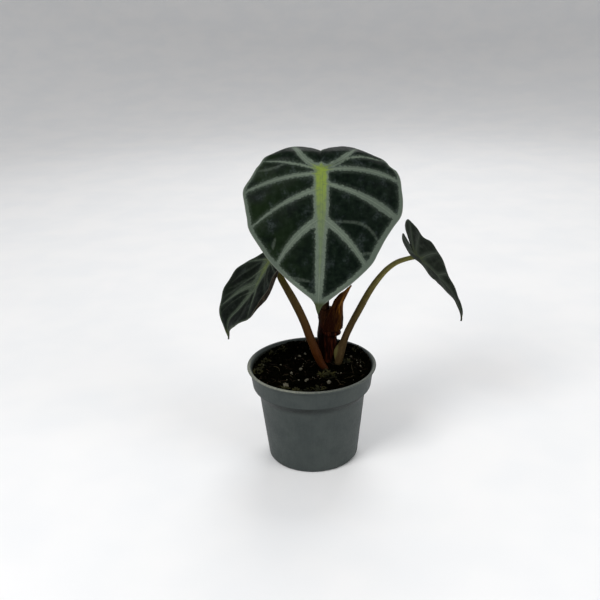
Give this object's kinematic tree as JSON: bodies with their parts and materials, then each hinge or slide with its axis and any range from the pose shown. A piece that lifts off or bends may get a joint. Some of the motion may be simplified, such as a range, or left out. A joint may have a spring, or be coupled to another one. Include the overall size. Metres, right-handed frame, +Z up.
{
  "type": "potted alocasia",
  "caption": "Small potted alocasia: a large heart-shaped leaf and smaller drooping ones, dark with silvery veins, on slim petioles over a sheathed stem in a round nursery pot.",
  "frame": {"origin": "centre of the pot's underside, on the surface it stands on", "axes": "+Z up along the pot's axis; the large leaf faces -Y; +X to its viewer's right"},
  "size_m": [0.1094, 0.06, 0.1451],
  "materials": {
    "pot_plastic": "satin",
    "soil": "matte",
    "old_sheath": "satin",
    "dry_sheath": "matte",
    "petiole": "satin",
    "leaf": "satin"
  },
  "bodies": {
    "root": {"pot": "pot_plastic", "soil": "soil", "sheath_bundle": "old_sheath", "dry_sheath": "dry_sheath", "petiole_main": "petiole", "petiole_left": "petiole", "petiole_right": "petiole", "leaf_main": "leaf", "leaf_left": "leaf", "leaf_right": "leaf"}
  },
  "joints": []
}
